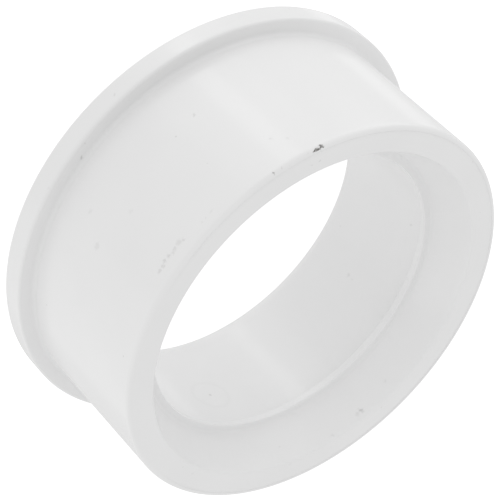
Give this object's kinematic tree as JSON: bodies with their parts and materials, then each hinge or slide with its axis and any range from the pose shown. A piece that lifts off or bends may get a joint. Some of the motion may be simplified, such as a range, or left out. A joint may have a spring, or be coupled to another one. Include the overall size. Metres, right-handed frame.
{
  "type": "toilet flange",
  "caption": "Round white pipe collar with a rim around its rear end, a flared mouth at the front, and a bore with a thin stop ring inside.",
  "frame": {"origin": "centre of the rear face, the face with the rim around it, which the collar stands on", "axes": "+Z along the collar's axis, from the rear face towards the front lip; X and Y are any two directions across it"},
  "size_m": [0.1234, 0.1234, 0.0508],
  "materials": {
    "white_pvc": "satin moulded surface"
  },
  "bodies": {
    "root": {"flange_ring": "white_pvc"}
  },
  "joints": []
}
